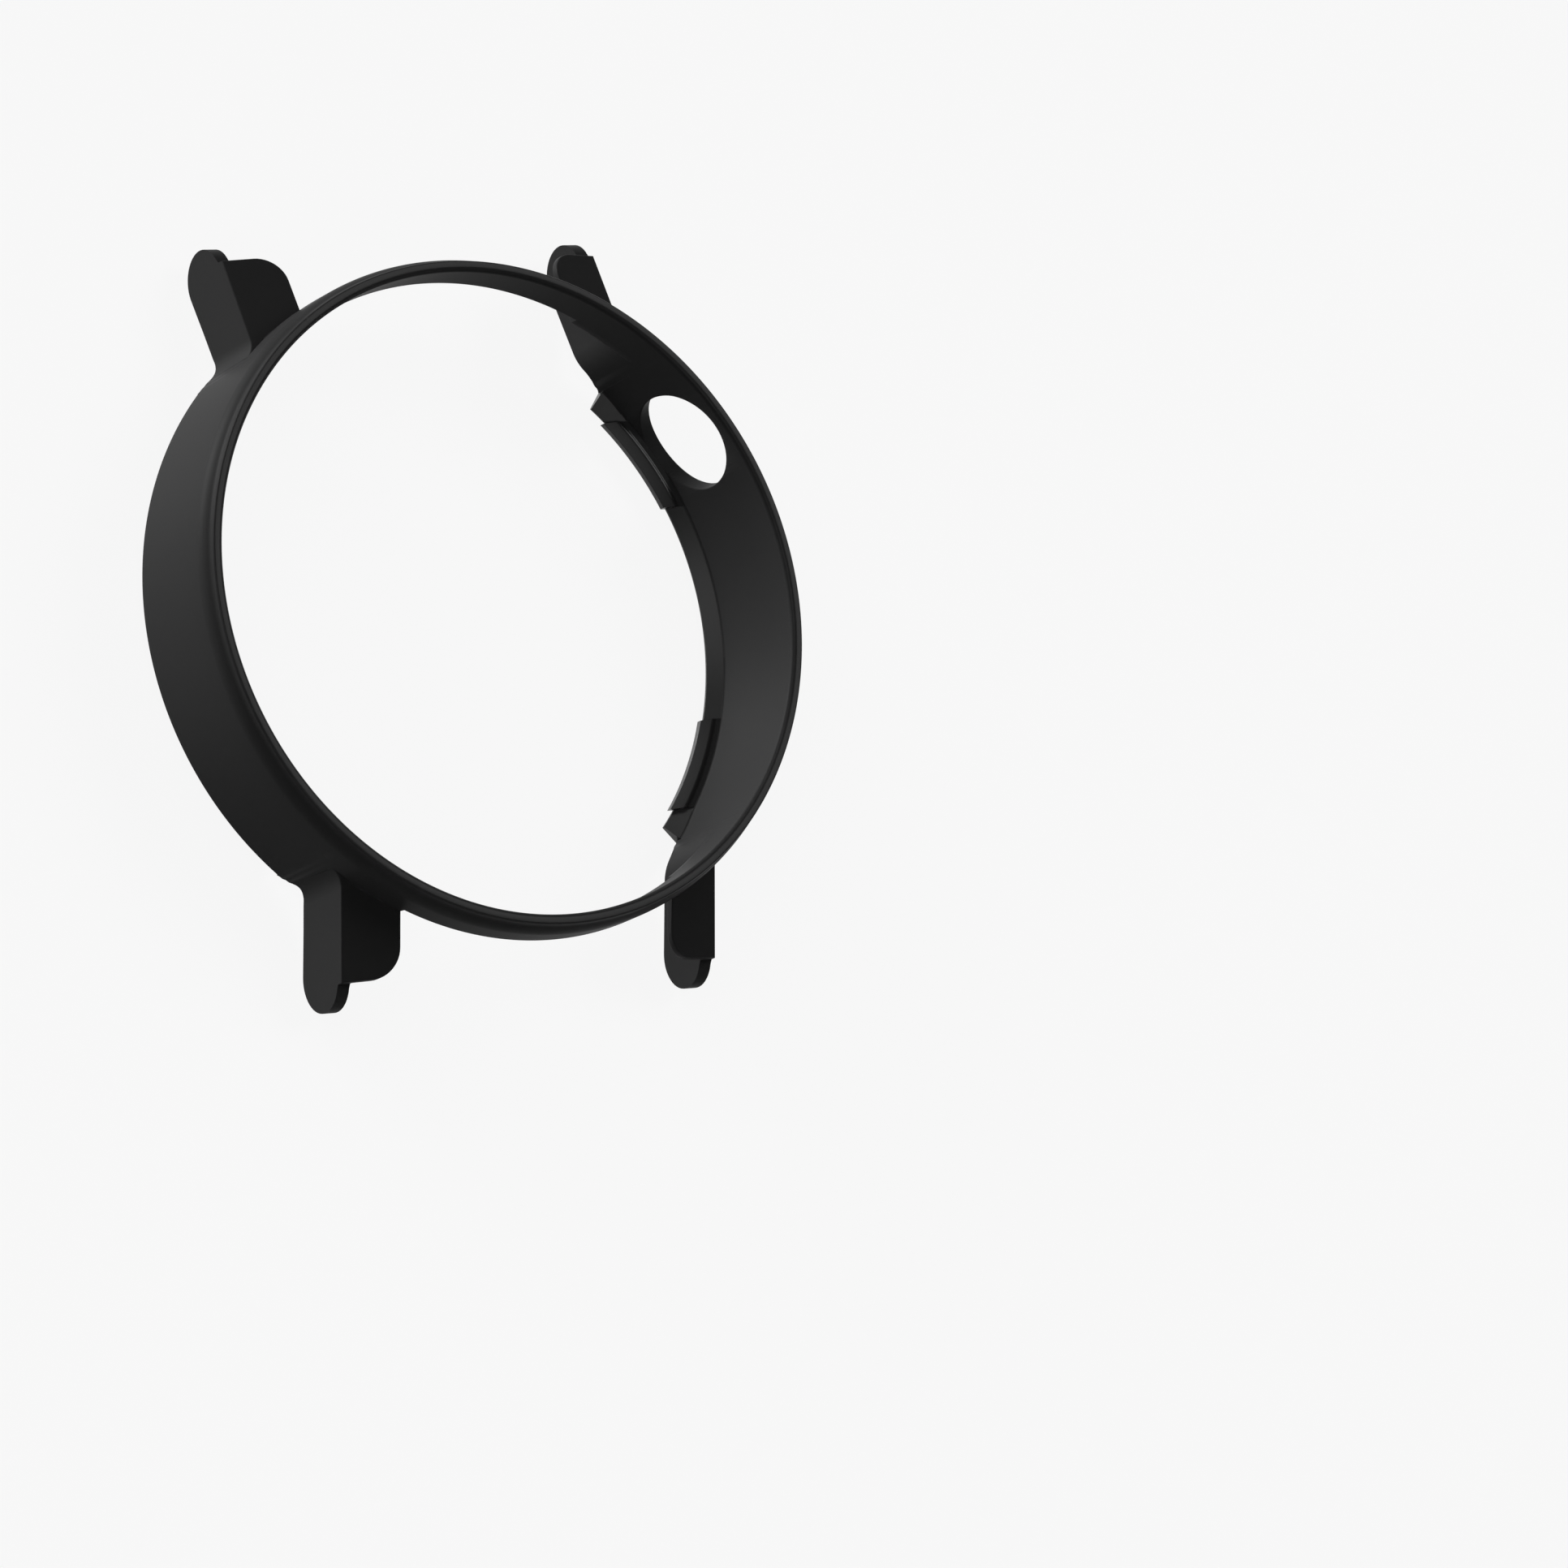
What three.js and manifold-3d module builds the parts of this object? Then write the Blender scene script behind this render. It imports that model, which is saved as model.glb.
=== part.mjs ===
// Smartwatch bumper case: a thin moulded guard that snaps round a round watch with a 22 mm strap.
// Frame: +Z towards the screen side, +Y towards 12 o'clock, +X towards the crown side.
// Origin on the ring's axis, at the height of the four lug tips that the case stands on. Millimetres.
// The case is one moulding. Its nodes are the features of that moulding, parted at flat faces.

import * as THREE from "three";
import { mergeVertices } from "three/addons/utils/BufferGeometryUtils.js";
import Module from "manifold-3d";

const wasm = await Module();
wasm.setup();

// Driving dimensions: what the case fits round
const watchRadius = 22.8;
const watchClearance = 0.1;
const strapWidth = 22;
const strapClearance = 0.11;

// Driving dimensions: ring, depths counted from the front plane
const wallThickness = 1.1;
const lipThickness = 0.72;
const lipTopRadius = 0.22;
const lipDepth = 0.5;
const shoulderDepth = 1.1;
const bandDepth = 3.3;
const skirtDepth = 9.64;
const wallBackInset = 0.24;
const wallInnerDraft = 0.25;
const skirtEndRun = 1.0;
const shoulderBulgeShare = 2 / 3;

// Driving dimensions: back flange and its catches
const flangeReach = 1.0;
const flangeBevelRise = 0.75;
const flangeEdge = 0.19;
const flangePartingShare = 0.65;
const catchReach = 0.33;
const catchRise = 0.4;
const catchNoseRise = 0.2;
const catchWallGap = 0.3;
const catchLength = 7.44;
const catchEndGap = 1.5;

// Driving dimensions: crown opening at two o'clock, which fills the wall's height but for two webs
const crownFrontWeb = 0.13;
const crownBackWeb = 0.05;
const crownEndGap = 2.5;

// Driving dimensions: the four lug guards
const lugWidth = 4.15;
const plateThickness = 0.58;
const plateRootDrop = 0.41;
const plateRun = 4.2;
const plateCornerRadius = 2.0;
const lugPitch = 17.45;
const plateRoof = 11.5;
const tongueThickness = 0.93;
const tongueLead = 1.53;
const tongueHeight = 4.46;
const tongueFilletRadius = 2.5;
const notchRun = 0.85;
const notchValley = 0.45;

// Finish of the moulding
const mouldedBlack = 0x232323;
const mouldedRoughness = 0.48;
const mouldedMetalness = 0;

// How finely the round stretches are cut
const ringSegments = 120;
const arcSteps = 12;
const cornerSteps = 3;
const overrun = 3;

const radians = THREE.MathUtils.degToRad;
const degrees = THREE.MathUtils.radToDeg;

// Radii worked out from the sizes above
const innerRadius = watchRadius + watchClearance;
const outerRadius = innerRadius + wallThickness;
const backOuterRadius = outerRadius - wallBackInset;
const backInnerRadius = innerRadius - wallInnerDraft;
const lipOuterRadius = innerRadius + lipThickness;
const flangeRadius = backInnerRadius - flangeReach;
const catchRadius = flangeRadius - catchReach;
const strapSideX = strapWidth / 2 + strapClearance;
const lugSideX = strapSideX + lugWidth;
const bevelTopDepth = skirtDepth - flangeEdge - flangeBevelRise;
const flangeTopDepth = skirtDepth - flangeEdge - flangeBevelRise * flangePartingShare;
const crownRadius = (flangeTopDepth - crownBackWeb - shoulderDepth - crownFrontWeb) / 2;
const crownDepth = shoulderDepth + crownFrontWeb + crownRadius;

// Plan angles, in degrees from the X axis: the ends of the lugs' strap edges, of the fillets into
// their tongues, of the skirts and of the catches, and the middle of the crown opening
const lugHalfAngle = degrees(Math.acos(strapSideX / outerRadius));
const filletAngle = degrees(Math.acos((lugSideX + tongueFilletRadius) / (outerRadius + tongueFilletRadius)));
const skirtHalfAngle = filletAngle - degrees(skirtEndRun / outerRadius);
const catchEndAngle = skirtHalfAngle - degrees(catchEndGap / catchRadius);
const catchStartAngle = catchEndAngle - degrees(catchLength / catchRadius);
const crownAngle = skirtHalfAngle - degrees((crownRadius + crownEndGap) / outerRadius);

// The lug guards' slopes, in the pitch and the roof direction, and the places that follow from them
const pitchSlope = Math.tan(radians(lugPitch));
const roofSlope = Math.tan(radians(plateRoof));
const plateReach = outerRadius * Math.sin(radians(lugHalfAngle)) + plateRun;
const plateCornerDepth = bandDepth + plateRootDrop + pitchSlope * plateRun + roofSlope * lugWidth;
const tongueReach = plateReach + tongueLead;
const plateDrop = plateThickness * Math.hypot(1, pitchSlope, roofSlope);
const tipRadius = tongueHeight / 2;
const tipY = tongueReach - tipRadius;
const underPlateDepth = plateCornerDepth + plateDrop - pitchSlope * (plateReach - tipY);
const tipDepth = underPlateDepth + tipRadius * Math.hypot(1, pitchSlope);
const frontZ = tipDepth + tipRadius;

const height = (depth) => frontZ - depth;
const onCircle = (radius, angle) =>
  new THREE.Vector2(radius * Math.cos(radians(angle)), radius * Math.sin(radians(angle)));

// A three.js geometry as a solid, and a solid as a three.js geometry
function solid(geometry) {
  const bare = geometry.clone();
  bare.deleteAttribute("normal");
  bare.deleteAttribute("uv");
  const merged = mergeVertices(bare);
  return new wasm.Manifold(
    new wasm.Mesh({
      numProp: 3,
      vertProperties: merged.attributes.position.array,
      triVerts: new Uint32Array(merged.index.array),
    }),
  );
}

function geometryOf(shape) {
  const { vertProperties, triVerts } = shape.getMesh();
  const geometry = new THREE.BufferGeometry();
  geometry.setAttribute("position", new THREE.BufferAttribute(new Float32Array(vertProperties), 3));
  geometry.setIndex(new THREE.BufferAttribute(new Uint32Array(triVerts), 1));
  geometry.computeVertexNormals();
  return geometry;
}

// A closed outline of [radius, depth] points turned once round the ring's axis
function ring(outline) {
  const points = outline.map(([radius, depth]) => new THREE.Vector2(radius, height(depth)));
  points.push(points[0].clone());
  return solid(new THREE.LatheGeometry(points, ringSegments).rotateX(Math.PI / 2));
}

// A plan outline as an upright prism that runs past the case above and below
function prism(shape) {
  const tall = frontZ + 2 * overrun;
  const geometry = new THREE.ExtrudeGeometry(shape, {
    depth: tall,
    bevelEnabled: false,
    curveSegments: arcSteps,
  });
  return solid(geometry.translate(0, 0, -overrun));
}

// The part of a ring between two plan angles less than half a turn apart
function sector(outline, fromAngle, toAngle) {
  const far = (outerRadius + overrun) / Math.cos(radians((toAngle - fromAngle) / 2));
  const middle = (fromAngle + toAngle) / 2;
  const wedge = new THREE.Shape([
    new THREE.Vector2(0, 0),
    onCircle(far, fromAngle),
    onCircle(far, middle),
    onCircle(far, toAngle),
  ]);
  return ring(outline).intersect(prism(wedge));
}

// Radii at a depth: the wall's outside leans in towards the back, and the flange's bevel turns in
function outerAt(depth) {
  const share = Math.max(0, (depth - bandDepth) / (skirtDepth - bandDepth));
  return outerRadius - wallBackInset * share;
}

function flangeInnerAt(depth) {
  const share = (depth - bevelTopDepth) / flangeBevelRise;
  return backInnerRadius - flangeReach * share;
}

// Bezel lip: a rounded rim whose narrow flat top lies in the front plane
function bezelLip() {
  const outline = [
    [innerRadius, lipDepth],
    [lipOuterRadius, lipDepth],
  ];
  const corner = (centre, startAngle) => {
    for (let i = 0; i <= cornerSteps; i++) {
      const turned = onCircle(lipTopRadius, startAngle + (90 * i) / cornerSteps);
      outline.push([centre + turned.x, lipTopRadius - turned.y]);
    }
  };
  corner(lipOuterRadius - lipTopRadius, 0);
  corner(innerRadius + lipTopRadius, 90);
  return ring(outline);
}

// Front shoulder: widens from the lip to the wall
function frontShoulder() {
  const shoulderBulge = lipOuterRadius + (outerRadius - lipOuterRadius) * shoulderBulgeShare;
  return ring([
    [innerRadius, shoulderDepth],
    [outerRadius, shoulderDepth],
    [shoulderBulge, (lipDepth + shoulderDepth) / 2],
    [lipOuterRadius, lipDepth],
    [innerRadius, lipDepth],
  ]);
}

// Strap band: the shallow wall between the lugs at 12 or 6 o'clock
function strapBand(middleAngle) {
  const halfAngle = 90 - lugHalfAngle;
  const outline = [
    [innerRadius, bandDepth],
    [outerRadius, bandDepth],
    [outerRadius, shoulderDepth],
    [innerRadius, shoulderDepth],
  ];
  return sector(outline, middleAngle - halfAngle, middleAngle + halfAngle);
}

// Side wall: the deep skirt on the right, from the shoulder down to the back flange
function sideWall() {
  const outline = [
    [flangeInnerAt(flangeTopDepth), flangeTopDepth],
    [outerAt(flangeTopDepth), flangeTopDepth],
    [outerRadius, bandDepth],
    [outerRadius, shoulderDepth],
    [innerRadius, shoulderDepth],
    [innerRadius, bandDepth],
    [backInnerRadius, bevelTopDepth],
  ];
  return sector(outline, -skirtHalfAngle, skirtHalfAngle);
}

// Crown opening: a round hole through the wall at two o'clock
function crownHole() {
  const length = wallThickness + 2 * overrun;
  const drill = new THREE.CylinderGeometry(crownRadius, crownRadius, length, 4 * arcSteps);
  const centre = onCircle(innerRadius + wallThickness / 2, crownAngle);
  drill.rotateZ(-Math.PI / 2);
  drill.rotateZ(radians(crownAngle));
  drill.translate(centre.x, centre.y, height(crownDepth));
  return solid(drill);
}

// Back flange: the bevelled rim that turns in behind the watch
function backFlange() {
  const outline = [
    [flangeRadius, skirtDepth],
    [backOuterRadius, skirtDepth],
    [outerAt(flangeTopDepth), flangeTopDepth],
    [flangeInnerAt(flangeTopDepth), flangeTopDepth],
    [flangeRadius, skirtDepth - flangeEdge],
  ];
  return sector(outline, -skirtHalfAngle, skirtHalfAngle);
}

// Catch: a raised pad on the flange's bevel that holds the watch in
function catchPad(fromAngle, toAngle) {
  const outsideRadius = backInnerRadius - catchWallGap;
  const bevelSlope = flangeBevelRise / flangeReach;
  const bevelDepth = (radius) => skirtDepth - flangeEdge - (radius - flangeRadius) * bevelSlope;
  const outline = [
    [catchRadius, skirtDepth],
    [flangeRadius, skirtDepth],
    [flangeRadius, bevelDepth(flangeRadius)],
    [outsideRadius, bevelDepth(outsideRadius)],
    [outsideRadius, bevelDepth(outsideRadius) - catchRise],
    [catchRadius, skirtDepth - flangeEdge - catchNoseRise],
  ];
  return sector(outline, fromAngle, toAngle);
}

// Plan outline of the lug guard's side, for the lug in the +X +Y quarter: from the wall's circle
// round a concave fillet into a straight run along Y. Points go from the wall to the tip.
function lugSidePath(circleRadius, sideX, filletRadius) {
  const centreX = sideX + filletRadius;
  const centreY = Math.sqrt((circleRadius + filletRadius) ** 2 - centreX ** 2);
  const meetAngle = degrees(Math.atan2(centreY, centreX));
  const path = [];
  for (let i = 0; i < cornerSteps; i++)
    path.push(onCircle(circleRadius, skirtHalfAngle + ((meetAngle - skirtHalfAngle) * i) / cornerSteps));
  for (let i = 0; i <= arcSteps; i++) {
    const angle = 180 + meetAngle - (meetAngle * i) / arcSteps;
    path.push(onCircle(filletRadius, angle).add(new THREE.Vector2(centreX, centreY)));
  }
  return path;
}

const guardOuterPath = () => lugSidePath(outerRadius, lugSideX, tongueFilletRadius);
const guardInnerPath = () =>
  lugSidePath(innerRadius, lugSideX - tongueThickness, tongueFilletRadius + tongueThickness);

// A thick slab parallel to the lug plate, between two depths below the plate's front face
function plateSlab(fromDrop, toDrop) {
  const span = 2 * (tongueReach + overrun);
  const normal = new THREE.Vector3(roofSlope, pitchSlope, 1).normalize();
  const slab = new THREE.BoxGeometry(span, span, (toDrop - fromDrop) * normal.z);
  const turn = new THREE.Quaternion().setFromUnitVectors(new THREE.Vector3(0, 0, 1), normal);
  slab.applyQuaternion(turn);
  const middleDepth = plateCornerDepth + (fromDrop + toDrop) / 2;
  return solid(slab.translate(lugSideX, plateReach, height(middleDepth)));
}

// Lug bridge: the stretch of wall between a side wall and a strap band, above the lug plate
function lugBridge() {
  const outline = [
    [innerRadius, skirtDepth],
    [outerRadius, skirtDepth],
    [outerRadius, shoulderDepth],
    [innerRadius, shoulderDepth],
  ];
  const wall = sector(outline, skirtHalfAngle, lugHalfAngle);
  return wall.intersect(plateSlab(-frontZ, 0));
}

// Lug plate: the sloping guard over the watch's lug, with a round corner at the strap end
function lugPlate() {
  const shape = new THREE.Shape(guardOuterPath());
  shape.lineTo(lugSideX, plateReach);
  shape.lineTo(strapSideX + plateCornerRadius, plateReach);
  shape.absarc(
    strapSideX + plateCornerRadius,
    plateReach - plateCornerRadius,
    plateCornerRadius,
    Math.PI / 2,
    Math.PI,
    false,
  );
  shape.lineTo(strapSideX, plateReach - plateRun);
  for (let i = 0; i <= arcSteps; i++) {
    const point = onCircle(innerRadius, lugHalfAngle + ((skirtHalfAngle - lugHalfAngle) * i) / arcSteps);
    shape.lineTo(point.x, point.y);
  }
  return prism(shape).intersect(plateSlab(0, plateDrop));
}

// Lug tongue: the upright outer side of the guard, with a full round end
function lugTongue() {
  const plan = new THREE.Shape(guardOuterPath());
  plan.lineTo(lugSideX, tongueReach + overrun);
  plan.lineTo(lugSideX - tongueThickness, tongueReach + overrun);
  guardInnerPath().reverse().forEach((point) => plan.lineTo(point.x, point.y));
  const side = solid(tongueSide());
  return prism(plan).intersect(side).intersect(plateSlab(plateDrop, plateDrop + 2 * frontZ));
}

// Side outline of the tongue in Y and Z, extruded along X
function tongueSide() {
  const pitch = radians(lugPitch);
  const lowY = tipY - tipRadius * Math.sin(pitch);
  const lowZ = height(tipDepth + tipRadius * Math.cos(pitch));
  const edgeZ = (y) => lowZ + (lowY - y) * pitchSlope;
  const wallEndY = backOuterRadius * Math.sin(radians(skirtHalfAngle));
  const notchTopY = wallEndY + notchRun;
  const runoutY = notchTopY + notchValley;
  const valleyStartY = notchTopY - notchValley / 2;
  const outline = new THREE.Shape();
  outline.moveTo(0, height(skirtDepth));
  outline.lineTo(wallEndY, height(skirtDepth));
  outline.lineTo(valleyStartY, edgeZ(notchTopY));
  outline.quadraticCurveTo(notchTopY, edgeZ(notchTopY - notchValley), runoutY, edgeZ(runoutY));
  outline.lineTo(lowY, lowZ);
  outline.absarc(tipY, height(tipDepth), tipRadius, -Math.PI / 2 - pitch, Math.PI / 2 - pitch, false);
  outline.lineTo(0, frontZ);
  const geometry = new THREE.ExtrudeGeometry(outline, {
    depth: outerRadius + overrun,
    bevelEnabled: false,
    curveSegments: 2 * arcSteps,
  });
  return geometry.rotateX(Math.PI / 2).rotateZ(Math.PI / 2);
}

// Every feature has its own material of the one moulded plastic
function feature(name, shape) {
  const material = new THREE.MeshStandardMaterial({
    color: mouldedBlack,
    roughness: mouldedRoughness,
    metalness: mouldedMetalness,
  });
  const mesh = new THREE.Mesh(geometryOf(shape), material);
  mesh.name = name;
  return mesh;
}

// The front ring: lip, shoulder and the two strap bands
function frontRing() {
  const group = new THREE.Group();
  group.add(feature("bezel_lip", bezelLip()));
  group.add(feature("front_shoulder", frontShoulder()));
  group.add(feature("upper_strap_band", strapBand(90)));
  group.add(feature("lower_strap_band", strapBand(270)));
  return group;
}

// One side: wall, flange, catches and the two lug guards. It is drawn on the right and mirrored
// for the left.
function sideSkirt(side, wall) {
  const group = new THREE.Group();
  group.scale.x = side === "left" ? -1 : 1;
  group.add(feature(`${side}_side_wall`, wall));
  group.add(feature(`${side}_back_flange`, backFlange()));
  group.add(feature(`${side}_upper_catch`, catchPad(catchStartAngle, catchEndAngle)));
  group.add(feature(`${side}_lower_catch`, catchPad(-catchEndAngle, -catchStartAngle)));
  for (const end of ["upper", "lower"]) {
    const lug = new THREE.Group();
    lug.scale.y = end === "lower" ? -1 : 1;
    lug.add(feature(`${end}_${side}_lug_bridge`, lugBridge()));
    lug.add(feature(`${end}_${side}_lug_plate`, lugPlate()));
    lug.add(feature(`${end}_${side}_lug_tongue`, lugTongue()));
    group.add(lug);
  }
  return group;
}

const bumperCase = new THREE.Group();
bumperCase.name = "smartwatch_bumper_case";
bumperCase.add(frontRing());
bumperCase.add(sideSkirt("left", sideWall()));
bumperCase.add(sideSkirt("right", sideWall().subtract(crownHole())));

export default bumperCase;
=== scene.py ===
# Smartwatch bumper case: one thin black moulding that snaps round a round watch.
# Each side is drawn once, for the right and the upper half, and mirrored.
# Sizes are in millimetres in plan and in depth behind the front plane, and become metres at the end.

import math

import bmesh
import bpy
from mathutils import Matrix, Vector

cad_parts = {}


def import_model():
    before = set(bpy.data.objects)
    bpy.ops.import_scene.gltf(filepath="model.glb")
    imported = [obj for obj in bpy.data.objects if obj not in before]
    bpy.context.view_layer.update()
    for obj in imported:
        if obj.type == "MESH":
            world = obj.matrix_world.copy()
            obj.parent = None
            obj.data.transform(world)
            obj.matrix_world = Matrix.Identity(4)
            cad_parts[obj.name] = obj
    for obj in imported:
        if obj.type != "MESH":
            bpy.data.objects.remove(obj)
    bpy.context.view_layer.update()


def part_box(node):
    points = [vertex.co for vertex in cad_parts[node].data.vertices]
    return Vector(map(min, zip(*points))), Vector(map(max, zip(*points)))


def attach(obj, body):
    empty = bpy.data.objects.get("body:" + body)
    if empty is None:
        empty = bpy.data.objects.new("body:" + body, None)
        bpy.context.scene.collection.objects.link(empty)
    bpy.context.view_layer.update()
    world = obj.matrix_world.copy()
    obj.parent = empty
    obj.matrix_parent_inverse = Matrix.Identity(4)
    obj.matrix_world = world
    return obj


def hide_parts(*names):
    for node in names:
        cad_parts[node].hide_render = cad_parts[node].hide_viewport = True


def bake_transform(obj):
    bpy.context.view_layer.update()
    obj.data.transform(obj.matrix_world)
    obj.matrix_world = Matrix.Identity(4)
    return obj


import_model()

MM = 0.001
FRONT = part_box("bezel_lip")[1].z / MM

# Ring: radii, and depths behind the front plane
INNER = 22.9
OUTER = 24.0
LIP_INNER = 22.84
LIP_STEP_START, LIP_STEP_END = 0.46, 0.50
LIP_STEP_ROUND = 0.02
BEAD_ROUND_INSIDE = 0.33
BEAD_ROUND_OUTSIDE = 0.13
BEAD_TOP = 0.08
GROOVE_DEPTH = 0.22
SEAM_DEPTH = 0.62
SHOULDER_DEPTH = 1.62
SEAM_TURN = math.radians(32)
SHOULDER_ROUND = (SHOULDER_DEPTH - SEAM_DEPTH) / math.sin(SEAM_TURN)
HOLLOW_ROUND = (SEAM_DEPTH - GROOVE_DEPTH) / math.sin(SEAM_TURN)
LIP_OUTER = OUTER - (SHOULDER_ROUND + HOLLOW_ROUND) * (1 - math.cos(SEAM_TURN))
BAND_DEPTH = 3.3
EDGE_ROUND = 0.1
BUTT_DEPTH = BAND_DEPTH - EDGE_ROUND
ARC_STEPS = 6
SHOULDER_STEPS = 8

# Side walls and their rims
SKIRT_DEPTH = 9.64
SKIRT_ANGLE = 45.53
STEP_ANGLE = 0.75
END_STRIP = 0.1
BACK_OUTER = 23.85
BACK_INNER = 22.65
BACK_ROUND = 0.15
CREASE_ROUND = 0.3
BEVEL_TOP = 8.7
FLANGE_RADIUS = 21.59
FLANGE_EDGE = 0.19
FLANGE_ROUND_BACK, FLANGE_ROUND_FRONT = 0.06, 0.07
RIM_SLANT = 0.22
RIM_SLANT_REACH = 0.5
DRAFT_ENDS = 37.0
DRAFT_REACH = 0.35

# Crown opening
CROWN_ANGLE = 30.5
CROWN_DEPTH = 5.07
CROWN_RADIUS = 3.87
CROWN_SIDES = 96
CROWN_DRILL = 6
CROWN_NEAR = 0.004
CROWN_RIM_ANGLE = 35

# Catches: profile as (radius, depth, rounding), ends along Y, and the arc that is cut to them
CATCH_RADIUS = 21.25
CATCH_FROM = 7.79
CATCH_TO = 14.08
CATCH_ARC_START, CATCH_ARC = 16.5, 30.0
CATCH_PROFILE = ((CATCH_RADIUS, SKIRT_DEPTH, 0.03), (CATCH_RADIUS, 9.19, 0.07), (21.98, 8.76, 0.3),
                 (22.22, 8.82, 0.2), (22.55, 8.70, 0), (22.55, 9.2, 0), (21.7, 9.55, 0),
                 (21.62, SKIRT_DEPTH, 0))

# Lug guards: the strap runs between STRAP_X either side, and LUG_X is the outside of the upright tongue.
# A tongue's path in plan follows the ring for LEAVE stations, then a fillet.
STRAP_X = 11.07
LUG_X = 15.29
TONGUE_WALL = 0.96
FILLET = 2.0
FILLET_STEPS = 10
LEAVE = 6
PLATE_END = 25.51
PLATE_CORNER = 1.9
PLATE_CORNER_DEPTH = 5.89
PLATE_DROP = 0.619
HIDDEN_STEPS, SHARED_STEPS, INNER_STEPS = 8, 5, 6
PITCH = math.tan(math.radians(17.45))
ROOF = math.tan(math.radians(11.5))
TIP_Y = 24.774
TIP_DEPTH = 8.611
TIP_RADIUS = 2.24
# Back edge of the wall past the rim: how far along Y and how deep
NOTCH_OUTSIDE = ((17.13, 9.64), (17.30, 9.61), (17.62, 9.38), (17.92, 9.14), (18.04, 8.99), (18.17, 8.88),
                 (18.30, 8.82), (18.45, 8.81), (18.60, 8.84), (18.92, 8.97), (19.25, 9.16), (19.60, 9.31))
NOTCH_INSIDE = ((16.34, 9.36), (16.54, 9.14), (16.78, 8.98), (17.10, 8.78), (17.32, 8.68), (17.55, 8.64),
                (17.80, 8.70), (18.06, 8.79), (18.32, 8.87), (18.88, 9.06), (19.42, 9.24))

# Meshes
MERGE = 1e-5
CUT_NEAR = 1e-6
SHARP_ANGLE = 42.0
NORMAL_WEIGHT = 80
BEVEL_SEGMENTS = 3

# Plastic: its darkest and lightest shade, and the base roughness and shine of its three finishes
DARK = (0.0208, 0.0208, 0.0210, 1)
LIGHT = (0.0232, 0.0232, 0.0234, 1)
GRAINED = (0.37, 0.012)
POLISHED = (0.25, 0.11)
RUBBED = (0.25, 0.3)
CLOUD_SCALE, CLOUD_ROUGH = 130.0, 0.06
GRAIN_SCALE, GRAIN_ROUGH = 7000.0, 0.04
GRAIN_BUMP, GRAIN_HEIGHT = 0.05, 0.00002

# Studio: name, azimuth, height, share and shadow of each lamp
SOFTNESS = 30
SOFTBOXES = (
    ("left_softbox", 126, -30, 1.5, False),
    ("low_softbox", 124, 8, 0.3, True),
    ("front_softbox", 165, 50, 0.11, True),
    ("lower_softbox", 235, 54, 0.07, True),
    ("upper_softbox", 106, 42, 0.07, True),
    ("right_softbox", 28, 52, 0.24, True),
)
WORLD_SHADE = 0.92
WORLD_GLOW = 0.02
FLOOR_GLOW = 0.91
BACKDROP_GLOW = 1.0
GLOW_SHADE = 0.985
MATTE_SHADE = 0.9
FLOOR_RADIUS = 4.0
FLOOR_DROP = 0.03
BACKDROP_FOOT, BACKDROP_TOP = 3.9, 4.0
BACKDROP_HEIGHT = 0.7
BACKDROP_MIDDLE = 0.34
STUDIO_SIDES = 96

# Camera, as fitted to the photo; its place is in millimetres from the middle of the front plane
LENS = 202.696
SENSOR = 36
CAMERA_NEAR, CAMERA_FAR = 0.05, 20
CAMERA_PLACE = (-327.8892, -120.5199, 496.85)
CAMERA_RIGHT = (0.824257, -0.170500, 0.539935)
CAMERA_BACK = (-0.564443, -0.172018, 0.807350)


# ---------------------------------------------------------------- materials

class Socket:
    """A shader value that can be worked with in plain expressions."""

    def __init__(self, maker, link):
        self.maker = maker
        self.link = link

    def _math(self, operation, first, second):
        return self.maker.node("ShaderNodeMath", {"operation": operation}, {0: first, 1: second})

    def __add__(self, other):
        return self._math("ADD", self, other)

    __radd__ = __add__

    def __mul__(self, other):
        return self._math("MULTIPLY", self, other)

    __rmul__ = __mul__


class Finish:
    """A material and the nodes that are added to it."""

    def __init__(self, name):
        self.material = bpy.data.materials.new(name)
        self.material.use_nodes = True
        self.tree = self.material.node_tree
        self.tree.nodes.clear()

    def node(self, kind, settings=None, inputs=None, output=0):
        made = self.tree.nodes.new(kind)
        for key, value in (settings or {}).items():
            setattr(made, key, value)
        for key, value in (inputs or {}).items():
            if isinstance(value, Socket):
                self.tree.links.new(value.link, made.inputs[key])
            else:
                made.inputs[key].default_value = value
        return Socket(self, made.outputs[output]) if made.outputs else None


def moulded_black(name, base_rough, shine):
    """Black moulded plastic: a satin skin with the fine grain of the mould."""
    finish = Finish(name)
    place = finish.node("ShaderNodeTexCoord", output="Object")
    cloud = finish.node("ShaderNodeTexNoise", inputs={"Vector": place, "Scale": CLOUD_SCALE, "Detail": 3.0})
    grain = finish.node("ShaderNodeTexNoise", inputs={"Vector": place, "Scale": GRAIN_SCALE, "Detail": 2.0})
    shade = finish.node("ShaderNodeMix", {"data_type": "RGBA"}, {0: cloud, 6: DARK, 7: LIGHT}, output=2)
    rough = base_rough + CLOUD_ROUGH * cloud + GRAIN_ROUGH * grain
    bump = finish.node("ShaderNodeBump",
                       inputs={"Height": grain, "Strength": GRAIN_BUMP, "Distance": GRAIN_HEIGHT})
    skin = finish.node("ShaderNodeBsdfPrincipled",
                       inputs={"Base Color": shade, "Roughness": rough, "Normal": bump,
                               "Specular IOR Level": shine})
    finish.node("ShaderNodeOutputMaterial", inputs={"Surface": skin})
    return finish.material


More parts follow.
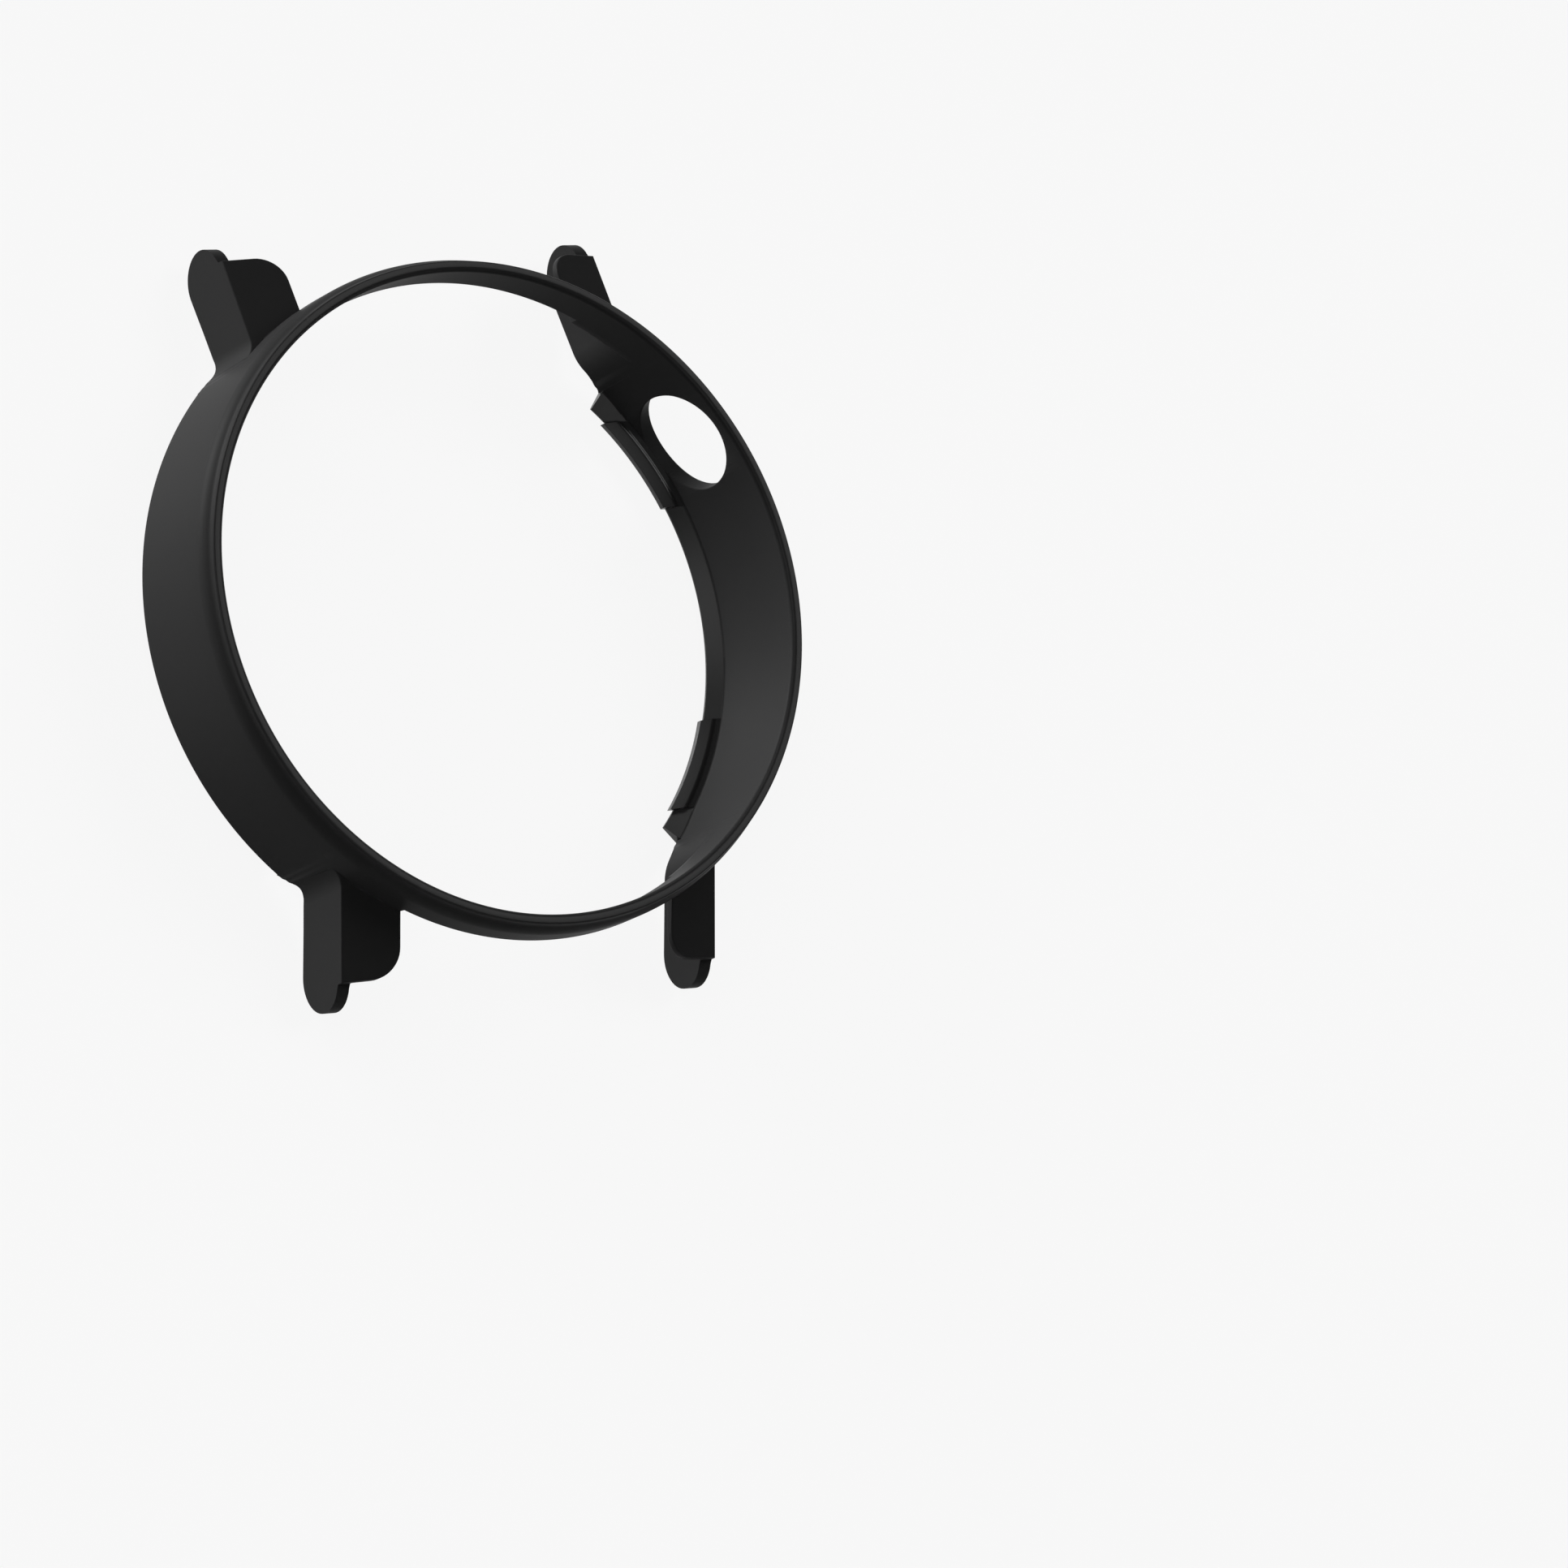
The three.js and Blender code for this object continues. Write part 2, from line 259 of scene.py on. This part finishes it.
def studio_white(name, glow_share):
    """A pale matte studio surface, lit mostly by its own glow where the camera or a gloss sees it."""
    finish = Finish(name)
    rays = finish.tree.nodes.new("ShaderNodeLightPath")
    seen = sum(Socket(finish, rays.outputs[ray])
               for ray in ("Is Camera Ray", "Is Glossy Ray", "Is Transmission Ray"))
    glow = finish.node("ShaderNodeEmission", inputs={"Color": (*[GLOW_SHADE] * 3, 1), "Strength": 1.0})
    matte = finish.node("ShaderNodeBsdfDiffuse", inputs={"Color": (*[MATTE_SHADE] * 3, 1)})
    both = finish.node("ShaderNodeMixShader", inputs={0: seen * glow_share, 1: matte, 2: glow})
    finish.node("ShaderNodeOutputMaterial", inputs={"Surface": both})
    return finish.material


# ---------------------------------------------------------------- shaping

def smooth(share):
    """Eases a share of 0 to 1 at both ends."""
    share = max(0.0, min(1.0, share))
    return share * share * (3 - 2 * share)


def polar(radius, angle, depth=0.0):
    turn = math.radians(angle)
    return Vector((radius * math.cos(turn), radius * math.sin(turn), FRONT - depth))


def rounded(corners):
    """A closed outline from (across, depth, radius) corners, each rounded to its radius."""
    points = []
    for i, (across, depth, radius) in enumerate(corners):
        corner = Vector((across, depth))
        if not radius:
            points.append(corner)
            continue
        before = (Vector(corners[i - 1][:2]) - corner).normalized()
        after = (Vector(corners[(i + 1) % len(corners)][:2]) - corner).normalized()
        half = before.angle(after) / 2
        centre = corner + (before + after).normalized() * (radius / math.sin(half))
        start = corner + before * (radius / math.tan(half)) - centre
        end = corner + after * (radius / math.tan(half)) - centre
        turn = math.atan2(start.cross(end), start.dot(end))
        for k in range(ARC_STEPS + 1):
            points.append(centre + Matrix.Rotation(turn * k / ARC_STEPS, 2) @ start)
    return points


def turned(outline, start, turn):
    """A bmesh of the outline turned round the ring's axis, with flat ends unless it is a full turn."""
    bm = bmesh.new()
    verts = [bm.verts.new(polar(p.x, start, p.y)) for p in outline]
    face = bm.faces.new(verts)
    full = turn == 360
    geometry = [face]
    if full:
        bm.faces.remove(face)
        geometry = list(bm.edges) + verts
    steps = round(turn / STEP_ANGLE)
    bmesh.ops.spin(bm, geom=geometry, cent=(0, 0, 0), axis=(0, 0, 1), angle=math.radians(turn),
                   steps=steps, use_merge=full)
    return bm


def flat_bar(outline, half_run):
    """A bmesh of the outline drawn out straight: X is the run, Y the radius and Z the height."""
    bm = bmesh.new()
    face = bm.faces.new([bm.verts.new((-half_run, p.x, FRONT - p.y)) for p in outline])
    pushed = bmesh.ops.extrude_face_region(bm, geom=[face])["geom"]
    ends = [item for item in pushed if isinstance(item, bmesh.types.BMVert)]
    bmesh.ops.translate(bm, verts=ends, vec=(2 * half_run, 0, 0))
    bmesh.ops.recalc_face_normals(bm, faces=bm.faces)
    return bm


def sliced(bm, place, normal, keep_all=True):
    """Cuts all of a bmesh along a plane; gives what the plane cut."""
    return bmesh.ops.bisect_plane(bm, geom=bm.verts[:] + bm.edges[:] + bm.faces[:], dist=CUT_NEAR,
                                  plane_co=place, plane_no=normal, clear_outer=not keep_all)["geom_cut"]


def bent(bm, half_run, radius):
    """Cuts a straight bar into short steps and bends it round the ring's axis."""
    steps = round(2 * math.degrees(half_run / radius) / STEP_ANGLE)
    end_strip = math.radians(END_STRIP) * radius
    runs = [-half_run + 2 * half_run * k / steps for k in range(1, steps)]
    for run in runs + [end_strip - half_run, half_run - end_strip]:
        sliced(bm, (run, 0, 0), (1, 0, 0))
    for vert in bm.verts:
        angle = vert.co.x / radius
        depth = FRONT - vert.co.z
        if BACK_INNER - DRAFT_REACH < vert.co.y < INNER and depth > BAND_DEPTH:
            draft = (INNER - BACK_INNER) * min(1, (depth - BAND_DEPTH) / (BEVEL_TOP - BAND_DEPTH))
            vert.co.y += draft * smooth((math.degrees(abs(angle)) - DRAFT_ENDS) / (SKIRT_ANGLE - DRAFT_ENDS))
        vert.co = Vector((vert.co.y * math.cos(angle), vert.co.y * math.sin(angle), vert.co.z))
    return bm


def edges_between(bm, pairs):
    """The edges that join the given pairs of points, each once."""
    found = [bm.edges.get(pair) for pair in pairs]
    return list(dict.fromkeys(edge for edge in found if edge))


def round_edges(bm, edges, width):
    bmesh.ops.bevel(bm, geom=edges, offset=width, offset_type="OFFSET", affect="EDGES",
                    segments=BEVEL_SEGMENTS, profile=0.5, material=-1, clamp_overlap=False)


def second_finish(bm, test):
    """Gives the second finish to the faces whose radius and depth pass the test."""
    for face in bm.faces:
        centre = face.calc_center_median()
        if test(math.hypot(centre.x, centre.y), FRONT - centre.z):
            face.material_index = 1
    return bm


def finished(name, bm, materials, mirror=(1, 1)):
    """Makes the object: in metres, normals out, smooth but for its sharp edges."""
    bmesh.ops.remove_doubles(bm, verts=bm.verts, dist=MERGE)
    to_metres = Matrix.Diagonal((mirror[0] * MM, mirror[1] * MM, MM, 1))
    bmesh.ops.transform(bm, matrix=to_metres, verts=bm.verts)
    bmesh.ops.recalc_face_normals(bm, faces=bm.faces)
    bm.normal_update()
    for face in bm.faces:
        face.smooth = True
    for edge in bm.edges:
        edge.smooth = edge.is_manifold and edge.calc_face_angle(0) < math.radians(SHARP_ANGLE)
    mesh = bpy.data.meshes.new(name)
    bm.to_mesh(mesh)
    bm.free()
    for material in materials:
        mesh.materials.append(material)
    piece = bpy.data.objects.new(name, mesh)
    bpy.context.scene.collection.objects.link(piece)
    weighted = piece.modifiers.new("even_normals", "WEIGHTED_NORMAL")
    weighted.keep_sharp = True
    weighted.weight = NORMAL_WEIGHT
    return piece


# ---------------------------------------------------------------- ring and side walls

def shoulder():
    """The convex shoulder, from the bead's seam to the straight wall."""
    turns = [SEAM_TURN * (1 - k / SHOULDER_STEPS) for k in range(SHOULDER_STEPS + 1)]
    return [(OUTER - SHOULDER_ROUND * (1 - math.cos(turn)),
             SHOULDER_DEPTH - SHOULDER_ROUND * math.sin(turn), 0) for turn in turns]


def hollow():
    """The concave run from the bead's side down to the seam."""
    turns = [SEAM_TURN * k / SHOULDER_STEPS for k in range(SHOULDER_STEPS + 1)]
    return [(LIP_OUTER + HOLLOW_ROUND * (1 - math.cos(turn)),
             GROOVE_DEPTH + HOLLOW_ROUND * math.sin(turn), 0) for turn in turns]


def bezel_outline():
    return rounded([
        (INNER, SEAM_DEPTH, 0),
        (INNER, LIP_STEP_END, LIP_STEP_ROUND),
        (LIP_INNER, LIP_STEP_START, LIP_STEP_ROUND),
        (LIP_INNER, 0.0, BEAD_ROUND_INSIDE),
        (LIP_OUTER, 0.0, BEAD_ROUND_OUTSIDE),
    ] + hollow())


def band_outline():
    return rounded(shoulder() + [
        (OUTER, BAND_DEPTH, EDGE_ROUND),
        (INNER, BAND_DEPTH, EDGE_ROUND),
        (INNER, SEAM_DEPTH, 0),
    ])


def wall_outline():
    return rounded(shoulder() + [
        (OUTER, BAND_DEPTH, 0),
        (BACK_OUTER, SKIRT_DEPTH, BACK_ROUND),
        (FLANGE_RADIUS, SKIRT_DEPTH, FLANGE_ROUND_BACK),
        (FLANGE_RADIUS, SKIRT_DEPTH - FLANGE_EDGE, FLANGE_ROUND_FRONT),
        (BACK_INNER, BEVEL_TOP, CREASE_ROUND),
        (INNER, BAND_DEPTH, 0),
        (INNER, SEAM_DEPTH, 0),
    ])


def cut(bm, cutter):
    """The first bmesh less the second."""
    objects = []
    for part in (bm, cutter):
        mesh = bpy.data.meshes.new("cutting")
        part.to_mesh(mesh)
        part.free()
        objects.append(bpy.data.objects.new("cutting", mesh))
        bpy.context.scene.collection.objects.link(objects[-1])
    body, tool = objects
    knife = body.modifiers.new("cut", "BOOLEAN")
    knife.operation = "DIFFERENCE"
    knife.solver = "EXACT"
    knife.object = tool
    bpy.context.view_layer.update()
    made = bmesh.new()
    made.from_mesh(body.evaluated_get(bpy.context.evaluated_depsgraph_get()).to_mesh())
    for item in objects:
        mesh = item.data
        bpy.data.objects.remove(item)
        bpy.data.meshes.remove(mesh)
    return made


def side_wall(with_crown):
    """The deep wall and its rim on the right side, drawn straight, pierced and bent round."""
    middle = (INNER + OUTER) / 2
    half_run = math.radians(SKIRT_ANGLE) * middle
    bm = flat_bar(wall_outline(), half_run)
    for vert in bm.verts:
        if vert.co.y < FLANGE_RADIUS + RIM_SLANT_REACH:
            vert.co.x -= math.copysign(RIM_SLANT, vert.co.x)
    if with_crown:
        centre = Vector((math.radians(CROWN_ANGLE) * middle, middle, FRONT - CROWN_DEPTH))
        drill = bmesh.new()
        bmesh.ops.create_cone(drill, cap_ends=True, segments=CROWN_SIDES, radius1=CROWN_RADIUS,
                              radius2=CROWN_RADIUS, depth=CROWN_DRILL,
                              matrix=Matrix.Translation(centre) @ Matrix.Rotation(math.pi / 2, 4, "X"))
        bm = cut(bm, drill)

        def on_rim(vert):
            across = math.hypot(vert.co.x - centre.x, vert.co.z - centre.z)
            return abs(across - CROWN_RADIUS) < CROWN_NEAR
        rim = [edge for edge in bm.edges if all(map(on_rim, edge.verts))
               and edge.is_manifold and edge.calc_face_angle(0) > math.radians(CROWN_RIM_ANGLE)]
        round_edges(bm, rim, EDGE_ROUND)
    bent(bm, half_run, middle)

    def on_rim_face(radius, depth):
        return depth > BEVEL_TOP - EDGE_ROUND and radius < BACK_INNER - EDGE_ROUND / 2
    return second_finish(bm, on_rim_face)


def catch():
    """A raised pad on the rim; its ends are cut straight across, along X."""
    bm = turned(rounded(CATCH_PROFILE), CATCH_ARC_START, CATCH_ARC)
    for run, out in ((CATCH_FROM, -1), (CATCH_TO, 1)):
        cut_open = sliced(bm, (0, run, 0), (0, out, 0), keep_all=False)
        edges = [item for item in cut_open if isinstance(item, bmesh.types.BMEdge)]
        bmesh.ops.contextual_create(bm, geom=edges)
    return bm


# ---------------------------------------------------------------- lug guards

def plane_depth(x, y, below=0.0):
    """Depth of the lug plate's front face under a place in plan, or of a face that much below it."""
    return PLATE_CORNER_DEPTH + PITCH * (y - PLATE_END) + ROOF * (x - LUG_X) + below


def on_plane(x, y, below=0.0):
    return Vector((x, y, FRONT - plane_depth(x, y, below)))


def guard_path(circle, side_x, fillet):
    """Plan points from the end of the side wall, round the fillet, to the start of the straight tongue."""
    centre = Vector((side_x + fillet, 0, 0))
    centre.y = math.sqrt((circle + fillet) ** 2 - centre.x ** 2)
    meet = math.degrees(math.atan2(centre.y, centre.x))
    steps = [0, END_STRIP] + [(meet - SKIRT_ANGLE) * k / (LEAVE - 1) for k in range(1, LEAVE - 1)]
    points = [polar(circle, SKIRT_ANGLE + step) for step in steps]
    for k in range(FILLET_STEPS + 1):
        turn = math.radians(180 + meet * (1 - k / FILLET_STEPS))
        points.append(centre + Vector((fillet * math.cos(turn), fillet * math.sin(turn), 0)))
    return points, meet


OUTER_PATH, OUTER_MEET = guard_path(OUTER, LUG_X, FILLET)
INNER_PATH, INNER_MEET = guard_path(INNER, LUG_X - TONGUE_WALL, FILLET + TONGUE_WALL)


def notch_depth(notch, y):
    """Depth of the wall's back edge between the rim and the tongue."""
    for (y0, d0), (y1, d1) in zip(notch, notch[1:]):
        if y <= y1:
            return d0 + (d1 - d0) * (y - y0) / (y1 - y0)
    return notch[-1][1] + PITCH * (y - notch[-1][0])


def tongue_levels(i, inner):
    """The points of one station of the guard's upright wall, from its top down."""
    path = INNER_PATH if inner else OUTER_PATH
    here = path[i]
    upright = 1 if inner else smooth((here.y - path[0].y) / (path[-1].y - path[0].y))
    bottom = notch_depth(NOTCH_INSIDE if inner else NOTCH_OUTSIDE, here.y)

    def at(depth):
        share = max(0, depth - BAND_DEPTH) / (SKIRT_DEPTH - BAND_DEPTH)
        lean = (OUTER - BACK_OUTER) * (1 - upright) * share
        inward = Vector((here.x, here.y, 0)).normalized() * lean
        return Vector((here.x - inward.x, here.y - inward.y, FRONT - depth))
    levels = []
    if i <= LEAVE:
        levels.append(at(BUTT_DEPTH))
    if i < LEAVE:
        levels.append(at(BAND_DEPTH))
    else:
        levels.append(at(plane_depth(here.x, here.y)))
    levels.append(at(bottom))
    return levels


def tip_outline():
    """Side outline of the tongue's end, as (y, depth) from its lower edge round to the plate's end."""
    points = []
    start = math.pi / 2 + math.atan(PITCH)
    end = -math.acos((PLATE_END - TIP_Y) / TIP_RADIUS)
    for k in range(4 * ARC_STEPS + 1):
        turn = start + (end - start) * k / (4 * ARC_STEPS)
        points.append((TIP_Y + TIP_RADIUS * math.cos(turn), TIP_DEPTH + TIP_RADIUS * math.sin(turn)))
    return points


def lug_tongue():
    """The guard's upright wall: round the fillet, along the lug and round its tip."""
    bm = bmesh.new()
    last = len(OUTER_PATH) - 1
    sheets = []
    for inner in (False, True):
        x = LUG_X - TONGUE_WALL if inner else LUG_X
        columns = [[bm.verts.new(p) for p in tongue_levels(i, inner)] for i in range(last + 1)]
        tip = [bm.verts.new((x, y, FRONT - depth)) for y, depth in tip_outline()]
        corner = bm.verts.new(on_plane(x, PLATE_END))
        sheets.append((columns, tip, corner))

    def sheet_faces(sheet):
        columns, tip, corner = sheet
        faces = []
        for i in range(last):
            a, b = columns[i], columns[i + 1]
            if i < LEAVE:
                faces.append([a[0], b[0], b[1], a[1]])
                faces.append([a[1]] + b[1:] + [a[-1]])
            else:
                faces.append([a[-2], b[-2], b[-1], a[-1]])
        faces.append([columns[last][-2], corner] + tip[::-1] + [columns[last][-1]])
        return faces
    for sheet, turned_round in zip(sheets, (False, True)):
        for loop in sheet_faces(sheet):
            bm.faces.new(loop[::-1] if turned_round else loop)

    def rim(sheet):
        columns, tip, corner = sheet
        top = [columns[i][0] for i in range(LEAVE + 1)]
        top += [columns[i][-2] for i in range(LEAVE, last + 1)] + [corner]
        bottom = [columns[i][-1] for i in range(last, -1, -1)]
        return top + tip[::-1] + bottom + [columns[0][1]]
    outer_rim, inner_rim = rim(sheets[0]), rim(sheets[1])
    for k in range(len(outer_rim)):
        n = (k + 1) % len(outer_rim)
        bm.faces.new([outer_rim[k], inner_rim[k], inner_rim[n], outer_rim[n]])

    pairs = []
    for sheet, from_top in zip(sheets, (True, False)):
        columns, tip, corner = sheet
        line = [columns[i][-1] for i in range(last + 1)] + tip
        if from_top:
            line += [corner] + [columns[i][-2] for i in range(last, LEAVE, -1)]
        pairs += zip(line, line[1:])
    (_, outer_tip, outer_corner), (_, _, inner_corner) = sheets
    pairs.append((outer_corner, inner_corner))
    pairs.remove((outer_tip[-1], outer_corner))
    round_edges(bm, edges_between(bm, pairs), EDGE_ROUND)
    return bm


def lug_plate():
    """The sloping plate over the lug, with the stretch of the ring's wall above it."""
    bm = bmesh.new()
    angle_out = math.degrees(math.acos(STRAP_X / OUTER))
    angle_in = math.degrees(math.acos(STRAP_X / INNER))
    angle_meet = math.degrees(math.acos((LUG_X - TONGUE_WALL) / OUTER))

    def arc(radius, start, end, steps):
        return [polar(radius, start + (end - start) * k / steps) for k in range(steps + 1)]
    hidden_arc = arc(OUTER, OUTER_MEET, angle_meet, HIDDEN_STEPS)
    shared_arc = arc(OUTER, angle_meet, angle_out, SHARED_STEPS)
    inner_arc = arc(INNER, angle_in, INNER_MEET, INNER_STEPS)
    corner = []
    for k in range(2 * ARC_STEPS + 1):
        turn = math.pi / 2 * (1 + k / (2 * ARC_STEPS))
        corner.append(Vector((STRAP_X + PLATE_CORNER + PLATE_CORNER * math.cos(turn),
                              PLATE_END - PLATE_CORNER + PLATE_CORNER * math.sin(turn), 0)))
    end = [Vector((LUG_X - TONGUE_WALL, PLATE_END, 0))]
    outline = hidden_arc + end + corner + [shared_arc[-1]] + inner_arc
    top = [bm.verts.new(on_plane(p.x, p.y)) for p in outline]
    bottom = [bm.verts.new(on_plane(p.x, p.y, PLATE_DROP)) for p in outline]
    joint = [bm.verts.new(on_plane(p.x, p.y)) for p in shared_arc[1:-1]]
    bm.faces.new(bottom[::-1])
    for k in range(len(outline)):
        n = (k + 1) % len(outline)
        bm.faces.new([bottom[k], bottom[n], top[n], top[k]])
    first = len(hidden_arc) - 1
    strap = first + len(end) + len(corner) + 1
    bm.faces.new(top[first:strap + 1] + joint[::-1])
    ring_part = bm.faces.new(top[:first + 1] + joint + top[strap:])
    raised = bmesh.ops.extrude_face_region(bm, geom=[ring_part])["geom"]
    if ring_part.is_valid:
        bmesh.ops.delete(bm, geom=[ring_part], context="FACES_ONLY")
    for item in raised:
        if isinstance(item, bmesh.types.BMVert):
            item.co.z = FRONT - BUTT_DEPTH
    root = [top[first]] + joint + [top[strap]]
    pairs = [(row[k], row[k + 1]) for row in (top, bottom) for k in range(first + 1, strap)]
    pairs += [(bottom[k], bottom[k + 1]) for k in range(strap, len(outline) - 1)]
    pairs += zip(root, root[1:])
    round_edges(bm, edges_between(bm, pairs), EDGE_ROUND)
    return bm


# ---------------------------------------------------------------- assembly

def build():
    grained = moulded_black("grained_moulding", *GRAINED)
    polished = moulded_black("polished_moulding", *POLISHED)
    rubbed = moulded_black("rubbed_moulding", *RUBBED)

    def on_ring(piece, *nodes):
        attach(piece, "front_ring")
        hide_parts(*nodes)

    def on_side(piece, side, *nodes):
        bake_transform(piece)
        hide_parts(*nodes)

    bead = second_finish(turned(bezel_outline(), 0, 360), lambda radius, depth: depth < BEAD_TOP)
    on_ring(finished("bezel_bead", bead, [grained, polished]), "bezel_lip", "front_shoulder")
    for end, sign in (("upper", 1), ("lower", -1)):
        band = turned(band_outline(), SKIRT_ANGLE, 180 - 2 * SKIRT_ANGLE)
        for angle in (SKIRT_ANGLE + END_STRIP, 180 - SKIRT_ANGLE - END_STRIP):
            sliced(band, (0, 0, 0), polar(1, angle + 90, FRONT))
        on_ring(finished(end + "_strap_wall", band, [grained], (1, sign)), end + "_strap_band")
    for side, across in (("left", -1), ("right", 1)):
        drawn = side_wall(with_crown=side == "right")
        wall = finished(side + "_skirt_wall", drawn, [grained, rubbed], (across, 1))
        on_side(wall, side, side + "_side_wall", side + "_back_flange")
        for end, along in (("upper", 1), ("lower", -1)):
            mirror = (across, along)
            pad = finished(f"{end}_{side}_catch_pad", catch(), [rubbed], mirror)
            on_side(pad, side, f"{side}_{end}_catch")
            guard = finished(f"{end}_{side}_guard_side", lug_tongue(), [grained], mirror)
            on_side(guard, side, f"{end}_{side}_lug_tongue")
            plate = finished(f"{end}_{side}_guard_plate", lug_plate(), [grained], mirror)
            on_side(plate, side, f"{end}_{side}_lug_plate", f"{end}_{side}_lug_bridge")


# ---------------------------------------------------------------- studio

def stage():
    floor = bmesh.new()
    bmesh.ops.create_circle(floor, cap_ends=True, segments=STUDIO_SIDES, radius=FLOOR_RADIUS)
    backdrop = bmesh.new()
    bmesh.ops.create_cone(backdrop, cap_ends=False, segments=STUDIO_SIDES, radius1=BACKDROP_FOOT,
                          radius2=BACKDROP_TOP, depth=BACKDROP_HEIGHT,
                          matrix=Matrix.Translation((0, 0, BACKDROP_MIDDLE)))
    for name, bm, share in (("floor", floor, FLOOR_GLOW), ("backdrop", backdrop, BACKDROP_GLOW)):
        mesh = bpy.data.meshes.new(name)
        bm.to_mesh(mesh)
        bm.free()
        mesh.materials.append(studio_white("studio_" + name, share))
        piece = bpy.data.objects.new(name, mesh)
        bpy.context.scene.collection.objects.link(piece)
        piece.visible_shadow = name == "floor"
    bpy.data.objects["floor"].location.z = -FLOOR_DROP * MM


def softbox(name, azimuth, height, share, shadow):
    """A far soft lamp; share 1 alone lights a surface that faces it at the level of its own colour."""
    data = bpy.data.lights.new(name, "SUN")
    data.energy = math.pi * share
    data.angle = math.radians(SOFTNESS)
    data.use_shadow = shadow
    light = bpy.data.objects.new(name, data)
    around, above = math.radians(azimuth), math.radians(height)
    toward = Vector((math.cos(around) * math.cos(above), math.sin(around) * math.cos(above),
                     math.sin(above)))
    light.rotation_mode = "QUATERNION"
    light.rotation_quaternion = toward.to_track_quat("Z", "Y")
    bpy.context.scene.collection.objects.link(light)


def world():
    """A faint even glow from all round."""
    studio = bpy.data.worlds.new("studio")
    studio.use_nodes = True
    sky = studio.node_tree.nodes["Background"]
    sky.inputs["Color"].default_value = (*[WORLD_SHADE] * 3, 1)
    sky.inputs["Strength"].default_value = WORLD_GLOW
    bpy.context.scene.world = studio


def camera():
    """The photo's own view."""
    data = bpy.data.cameras.new("camera")
    data.sensor_width = SENSOR
    data.lens = LENS
    data.clip_start, data.clip_end = CAMERA_NEAR, CAMERA_FAR
    eye = bpy.data.objects.new("camera", data)
    right = Vector(CAMERA_RIGHT).normalized()
    back = Vector(CAMERA_BACK).normalized()
    up = back.cross(right).normalized()
    turn = Matrix((right, up, back)).transposed().to_4x4()
    place = (Vector(CAMERA_PLACE) + Vector((0, 0, FRONT))) * MM
    eye.matrix_world = Matrix.Translation(place) @ turn
    bpy.context.scene.collection.objects.link(eye)
    bpy.context.scene.camera = eye


build()
stage()
for lamp in SOFTBOXES:
    softbox(*lamp)
world()
camera()
bpy.context.scene.view_settings.view_transform = "Standard"
